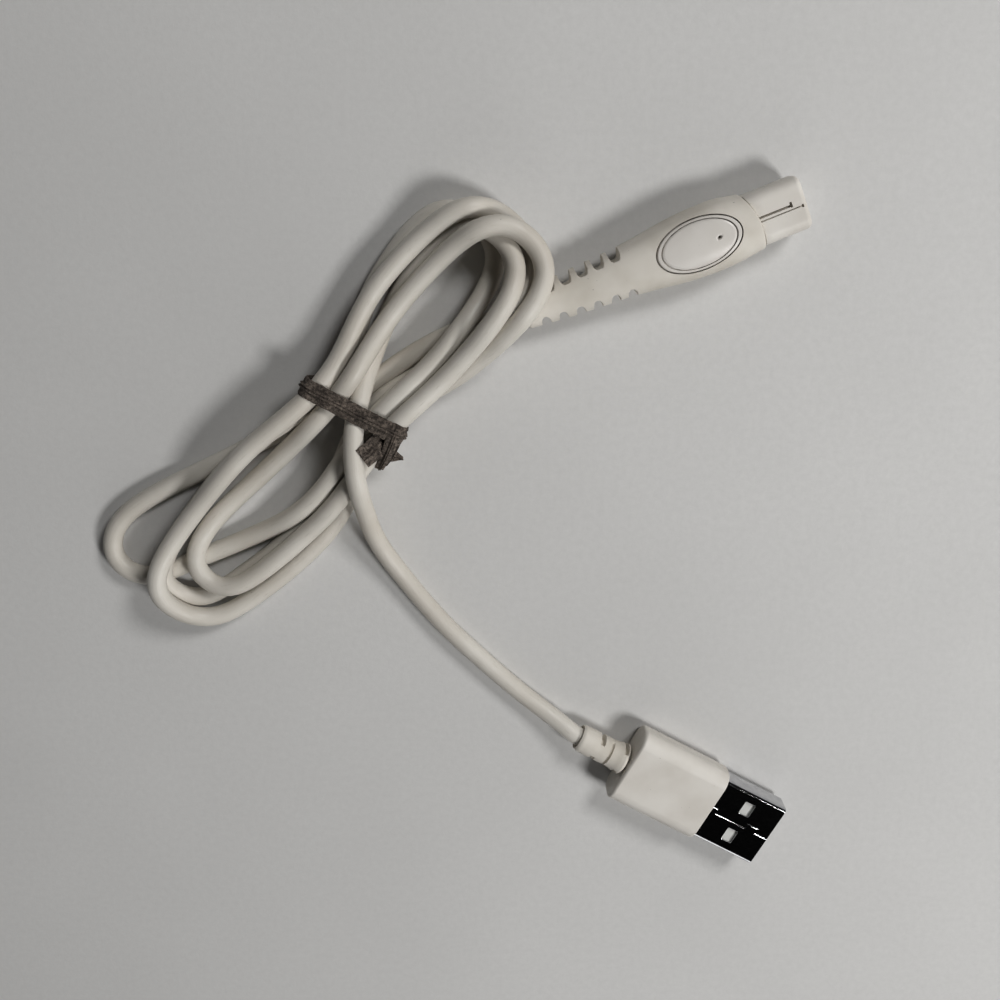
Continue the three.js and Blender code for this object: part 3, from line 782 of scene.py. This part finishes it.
def badge_dirt_and_shade(share, angle, x, y):
    """Dirt and painted shade in the two grooves, thickest at the front end, and in the pit."""
    middle = (GROOVE_START + GROOVE_END) / 2
    groove = max(1 - abs(share - middle) / DIRT_AND_SHADE_HALF_WIDTH, 0) + max(1 - (1 - share) / DIRT_AND_SHADE_HALF_WIDTH, 0)
    patchy = 0.55 + 0.45 * math.cos(angle - 0.15) + 0.9 * noise.noise(Vector((x * 0.9, y * 0.9, 4.0)))
    return min(max(groove * patchy, 0.25 * groove) + badge_pit(x, y), 1.0)


def add_badge():
    steps = [0.02] + list(np.linspace(0.06, 0.80, 34)) + list(np.linspace(0.815, 1.0, 30))
    rings, dirt_and_shade = [], []
    for share in steps:
        ring = []
        for a in np.linspace(0, 2 * math.pi, OVAL_SIDES, endpoint=False):
            x = BADGE_HALF_ALONG * share * math.cos(a)
            y = BADGE_HALF_ACROSS * share * math.sin(a)
            ring.append((x, y, crown(x, y) + badge_lift(share) - PIT_DEPTH * badge_pit(x, y)))
            dirt_and_shade.append(badge_dirt_and_shade(share, a, x, y))
        rings.append(ring)
    rings.append([(x, y, BADGE_FLOOR + 0.1) for x, y, _ in rings[-1]])
    dirt_and_shade += [0.0] * len(rings[-1])
    badge = make("appliance_badge_inlay", *loft(rings), APPLIANCE, BADGE_WHITE, 50)
    # The attribute carries dirt and painted shade for the grooves and the pit.
    attribute = badge.data.attributes.new("dirt_and_shade", "FLOAT", "POINT")
    attribute.data.foreach_set("value", dirt_and_shade)
    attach(badge, "appliance_plug")
    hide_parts("appliance_badge")


def bore(y, profile, place):
    """A stepped round cutter along x, from (x, radius) pairs."""
    return make("cutter", *loft([circle_ring(x, radius, 32, y) for x, radius in profile]), place, None)


def add_head():
    def ring(x, width, height, corner):
        return from_side(x, width, height, corner, PLUG_SIDES)

    rings = [ring(2.5, *HEAD_STEM), bent_to_seam(ring(SEAM_MIDDLE, *HEAD_STEM), SEAM_MIDDLE, SEAM_GAP)]
    for x, inset in ((SEAM_MIDDLE, 0.12), (9.04, 0.04), (9.14, 0.0), (10.5, 0.0)):
        section = ring(x, HEAD_WIDTH - 2 * inset, HEAD_HEIGHT - 2 * inset, HEAD_CORNER - inset)
        rings.append(bent_to_seam(section, x, SEAM_GAP) if x < 10 else section)
    for angle in range(0, 91, 15):
        inset = HEAD_EDGE * (1 - math.cos(math.radians(angle)))
        x = HEAD_FRONT - HEAD_EDGE + HEAD_EDGE * math.sin(math.radians(angle))
        rings.append(ring(x, HEAD_WIDTH - 2 * inset, HEAD_HEIGHT - 2 * inset, HEAD_CORNER - inset))
    head = make("appliance_head_shell", *loft(rings), APPLIANCE, WHITE_PLASTIC, 35)
    top = HEAD_HEIGHT / 2
    keyway = [(8.2, 0.02), (14.2, 0.02), (14.2, -0.1), (14.5, -0.1), (14.5, 0.72), (14.15, 0.72),
              (14.15, 0.36), (8.2, 0.36)]
    cutters = [
        prism("cutter", keyway, top - KEYWAY_DEPTH, top + 1, APPLIANCE),
        prism("cutter", rectangle(8.2, 16.0, -0.50, -0.32), top - GROOVE_DEPTH, top + 1, APPLIANCE),
        prism("cutter", rectangle(15.75, 16.05, -0.64, -0.2), top - GROOVE_DEPTH, top + 1, APPLIANCE),
    ]
    bore_profile = [(1.5, 1.35), (16.4, 1.35), (16.4, 1.0), (18, 1.0)]
    cutters += [bore(side * BORE_OFFSET, bore_profile, APPLIANCE) for side in (-1, 1)]
    carve(head, cutters, 32)
    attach(head, "appliance_plug")
    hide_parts("appliance_head")


add_grip()
add_badge()
add_head()

# USB-A plug: the housing, the folded shell and the slotted bushing.
SHELL_WIDTH = 12.0
SHELL_HEIGHT = 4.5
SHELL_WALL = 0.3
SHELL_CORNER = 0.64
SHELL_FRONT = 11.75
SHELL_REAR = -6.6
WINDOW_FROM_FRONT = 6.1
WINDOW_OFFSET = 2.85
WINDOW_SIZE = (1.95, 2.5)
WINDOW_CORNER = 0.22
SEAM_HALF_WIDTH = 0.07
SEAM_DEPTH = 0.15
HOUSING_LENGTH = 16.6
HOUSING_WIDTH = 13.7
HOUSING_HEIGHT = 6.6
HOUSING_CORNER = 2.5
PARTING_DEPTH = 0.07
PARTING_HALF_WIDTH = 0.05
SHELL_SEAM = [
    (-6.0, 0.5), (1.38, 0.5), (1.38, -0.45), (7.3, -0.45), (7.3, 0.5), (9.4, 0.5), (9.4, -0.45),
    (12.5, -0.45),
]


def add_housing():
    def ring(x, inset=0.0, width=HOUSING_WIDTH, height=HOUSING_HEIGHT, corner=HOUSING_CORNER):
        return rounded_ring(x, width - 2 * inset, height - 2 * inset, corner - inset, 9)

    rings = []
    # The rear and the front edge are rounded: (where, radius, direction into the housing).
    for x0, edge, direction in ((-HOUSING_LENGTH, 0.55, 1), (0.0, 0.3, -1)):
        angles = range(0, 91, 15) if direction == 1 else range(90, -1, -15)
        for angle in angles:
            inset = edge * (1 - math.sin(math.radians(angle)))
            x = x0 + direction * edge * (1 - math.cos(math.radians(angle)))
            rings.append(ring(x, inset))
    # The hollow from the shell's mouth back to the cord's hole, as (x, width, height, corner).
    rings += [ring(x, 0.0, *section) for x, *section in (
        (0.0, 12.2, 4.7, 0.75), (-6.9, 12.2, 4.7, 0.75), (-6.9, 10.8, 4.0, 0.5), (-13.2, 10.8, 4.0, 0.5),
        (-13.2, 3.4, 3.4, 1.69), (-HOUSING_LENGTH, 3.4, 3.4, 1.69))]
    housing = make("usb_housing_cover", *loft(rings, closed=True), USB, WHITE_PLASTIC, 38)
    inner, outer, half = HOUSING_WIDTH / 2 - PARTING_DEPTH, HOUSING_WIDTH / 2 + 1.15, PARTING_HALF_WIDTH
    parting = [prism("cutter", rectangle(-HOUSING_LENGTH - 1, 1, *sides), -half, half, USB)
               for sides in ((-outer, -inner), (inner, outer))]
    carve(housing, parting, 38)
    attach(housing, "usb_plug")
    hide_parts("usb_housing")


def window_outline(x, y):
    """The plan outline of a window in the shell, centred on (x, y)."""
    return [(x + along, y + across) for _, along, across in rounded_ring(0, *WINDOW_SIZE, WINDOW_CORNER, 4)]


def add_shell():
    rings = []
    # Out along the outside, round the lip, and back along the inside of the sheet.
    for x, inset in ((SHELL_REAR, 0.0), (0.1, 0.0), (SHELL_FRONT - 0.12, 0.0), (SHELL_FRONT - 0.03, 0.04),
                     (SHELL_FRONT, 0.10), (SHELL_FRONT, 0.20), (SHELL_FRONT - 0.04, 0.27),
                     (SHELL_FRONT - 0.12, SHELL_WALL), (SHELL_REAR, SHELL_WALL)):
        rings.append(rounded_ring(x, SHELL_WIDTH - 2 * inset, SHELL_HEIGHT - 2 * inset, SHELL_CORNER - inset))
    shell = make("usb_shell_sheet", *loft(rings, closed=True), USB, SHELL_STEEL, 35)
    windows = [window_outline(SHELL_FRONT - WINDOW_FROM_FRONT, side * WINDOW_OFFSET) for side in (-1, 1)]
    cutters = [prism("cutter", window, -4, 4, USB) for window in windows]
    seam_line = band_outline(SHELL_SEAM, SEAM_HALF_WIDTH)
    cutters.append(prism("cutter", seam_line, SHELL_HEIGHT / 2 - SEAM_DEPTH, 4, USB))
    carve(shell, cutters, 32, bevel=0.07)
    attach(shell, "usb_plug")
    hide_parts("usb_shell")


SLOT_LEAN = 0.105
# (x, middle of the slot round the bushing in degrees from +y over the top, half angle, half length, depth)
BUSHING_SLOTS = [
    (-22.5, 180, 56, 0.40, 1.0), (-22.1, 0, 56, 0.40, 1.0), (-20.15, 90, 75, 0.20, 0.45),
    (-17.95, 180, 50, 0.34, 1.0), (-17.75, 0, 50, 0.34, 1.0), (-20.15, 270, 60, 0.20, 0.45),
]
BUSHING_SIDES = 120
# (x, radius)
BUSHING_PROFILE = [
    (-25.8, 2.08), (-25.5, 2.24), (-24.6, 2.34), (-21.5, 2.36), (-18.8, 2.46), (-17.8, 2.74), (-17.25, 2.78),
    (-16.95, 2.55), (-16.7, 1.95),
]


def bushing_radius(x, degrees):
    """The bushing's radius, less where one of its slots cuts in. The side slots lean a little."""
    base = radius = smooth_table(BUSHING_PROFILE, x)
    for middle, centre, half_angle, half_length, depth in BUSHING_SLOTS:
        turn = abs((degrees - centre + 180) % 360 - 180)
        lean = SLOT_LEAN * math.sin(math.radians(degrees)) if centre in (0, 180) else 0.0
        inside = 1 - max(abs(x - middle - lean) / half_length, turn / half_angle)
        if inside > 0:
            radius = min(radius, base - depth * min(inside * 5, 1))
    return radius


def add_bushing():
    # A funnel where the cord goes in, then the outside to the housing.
    rings = [circle_ring(-24.7, 1.60, BUSHING_SIDES), circle_ring(-25.72, 1.94, BUSHING_SIDES)]
    for x in np.arange(BUSHING_PROFILE[0][0], BUSHING_PROFILE[-1][0] + 0.01, 0.06):
        ring = []
        for k in range(BUSHING_SIDES):
            degrees = 360 * k / BUSHING_SIDES
            radius, angle = bushing_radius(x, degrees), math.radians(degrees)
            ring.append((x, radius * math.cos(angle), radius * math.sin(angle)))
        rings.append(ring)
    bushing = make("usb_relief", *loft(rings), USB, SOFT_WHITE, 42)
    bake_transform(bushing)
    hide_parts("usb_strain_relief")


add_housing()
add_shell()
add_bushing()

# Twist tie: a paper strip over a wire, wrapped tight round the bundle and twisted to itself at the side.
TIE_WIDTH = 3.0
TIE_THICKNESS = 0.32
TIE_OBLIQUE = math.radians(16)
TIE_STATIONS = 25
TIE_RINGS = 240
TIE_CLEARANCE = 0.08
TIE_HALF_REACH = 1.9
BUNDLE_HALF_WIDTH = 14


def strip_ring(centre, normal, across, width, at, seed):
    """One section across the strip: a thin sheet, a double ridge over its wire, and worn, torn edges."""
    upper, lower = [], []
    for w in np.linspace(-1, 1, TIE_STATIONS):
        torn = noise.noise(Vector((at * 0.7, math.copysign(3, w), seed)))
        torn += 0.6 * noise.noise(Vector((at * 2.6, math.copysign(3, w), seed)))
        ridge = 0.16 / (1 + (abs(w) / 0.27) ** 8) + 0.20 * math.exp(-((abs(w) - 0.17) / 0.07) ** 2)
        crease = 0.12 * noise.noise(Vector((at * 0.5, w * 1.6, seed + 5)))
        crease += 0.05 * noise.noise(Vector((at * 2.4, w * 5.0, seed + 9)))
        spot = centre + across * (w * width / 2 * (1 + 0.06 * torn * abs(w)))
        upper.append(spot + normal * (TIE_THICKNESS * (1 - 0.5 * abs(w) ** 6) + ridge + crease))
        lower.append(spot + normal * (crease * 0.5))
    return upper + lower[::-1]


def strip(centres, normals, across, widths, closed, seed):
    """A skin over the strip's sections."""
    at, rings = 0.0, []
    for i, (centre, normal, direction, width) in enumerate(zip(centres, normals, across, widths)):
        at += (centre - centres[i - 1]).length if i else 0.0
        rings.append(strip_ring(centre, normal, direction, width, at, seed))
    return loft(rings, closed)


def add_tie_piece(name, node, *strips):
    """One piece of the tie, out of one strip or more, in place of its CAD node."""
    points, faces = [], []
    for more_points, more_faces in strips:
        faces += [tuple(index + len(points) for index in face) for face in more_faces]
        points += more_points
    tie = make(name, points, faces, HANK, TIE_PAPER, 60)
    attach(tie, "hank")
    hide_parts(node)
    return tie


def hull(points):
    """Convex hull of points in a plane, anticlockwise."""
    points = sorted(set(map(tuple, points)))

    def half(ordered):
        chain = []
        for p in ordered:
            while len(chain) > 1 and ((chain[-1][0] - chain[-2][0]) * (p[1] - chain[-2][1])
                                      <= (chain[-1][1] - chain[-2][1]) * (p[0] - chain[-2][0])):
                chain.pop()
            chain.append(p)
        return chain[:-1]

    return half(points) + half(points[::-1])


def bundle_outline():
    """The taut outline round the strands where the tie crosses them, in (across, height)."""
    inverse = HANK.inverted()
    local = np.array([inverse @ Vector(p) for p in ROUTE])
    along = Vector((math.cos(TIE_OBLIQUE), math.sin(TIE_OBLIQUE)))
    offset = (local[:, 0] - TIE_AT) * along.x + local[:, 1] * along.y
    across = -(local[:, 0] - TIE_AT) * along.y + local[:, 1] * along.x
    near = (np.abs(offset) < TIE_HALF_REACH) & (np.abs(across) < BUNDLE_HALF_WIDTH)
    angles = np.linspace(0, 2 * math.pi, 40, endpoint=False)
    reach = CORD_RADIUS + TIE_CLEARANCE
    samples = [(a + reach * math.cos(t), z + reach * math.sin(t))
               for a, z in zip(across[near], local[near, 2]) for t in angles]
    return hull([(round(a, 3), round(max(z, 0.05), 3)) for a, z in samples])


def add_tie_band():
    outline = bundle_outline()
    points = np.array(resampled([(0.0, y, z) for y, z in outline], TIE_RINGS))
    wrapped = np.vstack([points[-5:], points, points[:5]])
    soft = np.array([np.convolve(wrapped[:, k], np.ones(11) / 11, "valid") for k in range(3)]).T
    tangent = np.roll(soft, -1, axis=0) - np.roll(soft, 1, axis=0)
    tangent /= np.linalg.norm(tangent, axis=1)[:, None]
    normal = np.column_stack([np.zeros(len(soft)), tangent[:, 2], -tangent[:, 1]])
    turn = Matrix.Translation((TIE_AT, 0, 0)) @ Matrix.Rotation(TIE_OBLIQUE, 4, "Z")
    spin = turn.to_3x3()
    centres = [turn @ Vector(p) for p in points + normal * 0.05]
    normals = [spin @ Vector(n) for n in normal]
    across = [spin @ Vector((1, 0, 0))] * len(points)
    widths = [TIE_WIDTH] * len(points)
    return add_tie_piece("twist_tie_band", "tie_band", strip(centres, normals, across, widths, True, 1.0))


def ribbon(path, facing, widths, seed, count=48):
    """A strip along a curve through the path's points. facing and widths hold its start's and its end's."""
    points, _ = centripetal(np.array(path), np.zeros(len(path)), 12)
    length = np.linalg.norm(np.diff(points, axis=0), axis=1).sum()
    points, _, _ = evenly(points, np.zeros(len(points)), length / count)
    tangents = np.gradient(points, axis=0)
    centres, normals, across = [], [], []
    for i, (point, tangent) in enumerate(zip(points, tangents)):
        tangent = Vector(tangent).normalized()
        normal = Vector(facing[0]).lerp(Vector(facing[1]), i / (len(points) - 1))
        normal = (normal - tangent * normal.dot(tangent)).normalized()
        centres.append(Vector(point))
        normals.append(normal)
        across.append(tangent.cross(normal))
    return strip(centres, normals, across, np.linspace(*widths, len(points)), False, seed)


def add_tie_ends():
    knot = add_tie_piece(
        "twist_tie_knot", "tie_knot",
        ribbon([(2.2, -7.3, 8.9), (0.9, -7.9, 9.3), (-0.9, -8.6, 9.0), (-3.0, -9.3, 7.8), (-5.0, -9.9, 5.9)],
               [(0.1, -0.2, 0.97), (-0.2, -0.35, 0.9)], (2.3, 1.5), 2.0),
        ribbon([(2.0, -8.2, 7.3), (0.2, -9.0, 7.2), (-1.8, -9.6, 6.5), (-4.2, -10.1, 5.0)],
               [(0.1, -0.9, 0.4), (-0.1, -0.8, 0.5)], (1.7, 1.3), 6.0),
    )
    flap = add_tie_piece(
        "twist_tie_flap", "tie_end_flap",
        ribbon([(-0.2, -7.3, 7.9), (-1.6, -7.2, 8.5), (-3.2, -7.0, 9.1), (-4.9, -6.7, 9.6)],
               [(0.25, -0.1, 0.95), (-0.1, -0.25, 0.95)], (3.2, 3.5), 3.0))
    tip = add_tie_piece(
        "twist_tie_tip", "tie_end_tip",
        ribbon([(-2.6, -9.0, 5.8), (-2.4, -10.0, 5.3), (-1.7, -11.6, 4.6)],
               [(0, -0.3, 0.95), (0, -0.3, 0.95)], (3.6, 0.5), 4.0))
    return [knot, flap, tip]


TIE_PIECES = [add_tie_band(), *add_tie_ends()]

# Finishes on the CAD pieces that show as they are.
CAD_FINISHES = {
    "usb_tongue": INSULATOR, "usb_contact_carrier": INSULATOR, "usb_wire_positive": RED_WIRE,
    "usb_wire_negative": BLACK_WIRE, "usb_contact_power": GOLD_PLATE, "usb_contact_data_minus": GOLD_PLATE,
    "usb_contact_data_plus": GOLD_PLATE, "usb_contact_ground": GOLD_PLATE, "appliance_socket_left": BRASS,
    "appliance_socket_right": BRASS, "appliance_wire_positive": RED_WIRE,
    "appliance_wire_negative": BLACK_WIRE,
}
for node_name, finish in CAD_FINISHES.items():
    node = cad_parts[node_name]
    node.data.materials.clear()
    node.data.materials.append(finish)

USB_PIECES = ["usb_housing_cover", "usb_shell_sheet", "usb_relief"]
USB_PIECES += [node_name for node_name in CAD_FINISHES if node_name.startswith("usb_")]


# Floor and lights.
FLOOR_RADIUS = 520
FLOOR_SIDES = 180
FLOOR_TOP = -0.02


def add_floor():
    m = Material("floor")
    grain = m.noise(900, 5, 0.7)
    tone = m.mix(m.spread(m.noise(14, 3), 0.3, 0.7), colour(214, 213, 211), colour(207, 206, 204))
    tone = m.mix(m.spread(grain, 0.3, 0.7, 0.0, 0.35), tone, colour(196, 195, 193))
    rough = m.spread(grain, 0.3, 0.7, 0.6, 0.8)
    finish = m.finish(Base_Color=tone, Roughness=rough, Normal=m.bump(grain, 0.03))
    angles = [2 * math.pi * k / FLOOR_SIDES for k in range(FLOOR_SIDES)]
    rim = [(FLOOR_RADIUS * math.cos(a), FLOOR_RADIUS * math.sin(a), FLOOR_TOP) for a in angles]
    floor = make("floor", rim, [tuple(range(FLOOR_SIDES))], Matrix.Identity(4), finish)


def add_area_light(name, location, target, size, power):
    data = bpy.data.lights.new(name, "AREA")
    data.shape = "RECTANGLE"
    data.size, data.size_y = size
    data.energy = power
    light = bpy.data.objects.new(name, data)
    light.location = location
    light.rotation_euler = (Vector(target) - Vector(location)).to_track_quat("-Z", "Y").to_euler()
    bpy.context.scene.collection.objects.link(light)


def add_world():
    """Pale walls low down and a dark ceiling, so that flat metal reflects dark from above."""
    world = bpy.data.worlds.new("studio")
    world.use_nodes = True
    nodes, links = world.node_tree.nodes, world.node_tree.links
    direction = nodes.new("ShaderNodeTexCoord").outputs["Generated"]
    height = nodes.new("ShaderNodeSeparateXYZ")
    links.new(direction, height.inputs["Vector"])
    fade = nodes.new("ShaderNodeMapRange")
    links.new(height.outputs["Z"], fade.inputs["Value"])
    for key, value in (("From Min", 0.05), ("From Max", 0.5), ("To Min", 1.0), ("To Max", 0.01)):
        fade.inputs[key].default_value = value
    links.new(fade.outputs["Result"], nodes["Background"].inputs["Color"])
    nodes["Background"].inputs["Strength"].default_value = 0.3
    bpy.context.scene.world = world


def add_lights():
    """Two soft lamps on the right, a low panel that lights the shell's edge, and the pale walls."""
    add_area_light("right", (0.38, -0.20, 0.54), (-0.01, 0, 0), (0.16, 0.16), 2.4)
    add_area_light("upper_right", (0.31, 0.40, 0.48), (-0.01, 0, 0), (0.18, 0.18), 2.0)
    add_area_light("low_panel", (0.02, -0.50, 0.22), (0.01, -0.05, 0.003), (0.26, 0.34), 0.34)
    add_world()


add_floor()
add_lights()

# The camera's contrast.
display = bpy.context.scene.view_settings
display.view_transform = "Standard"
display.exposure = 0.13
display.gamma = 0.86
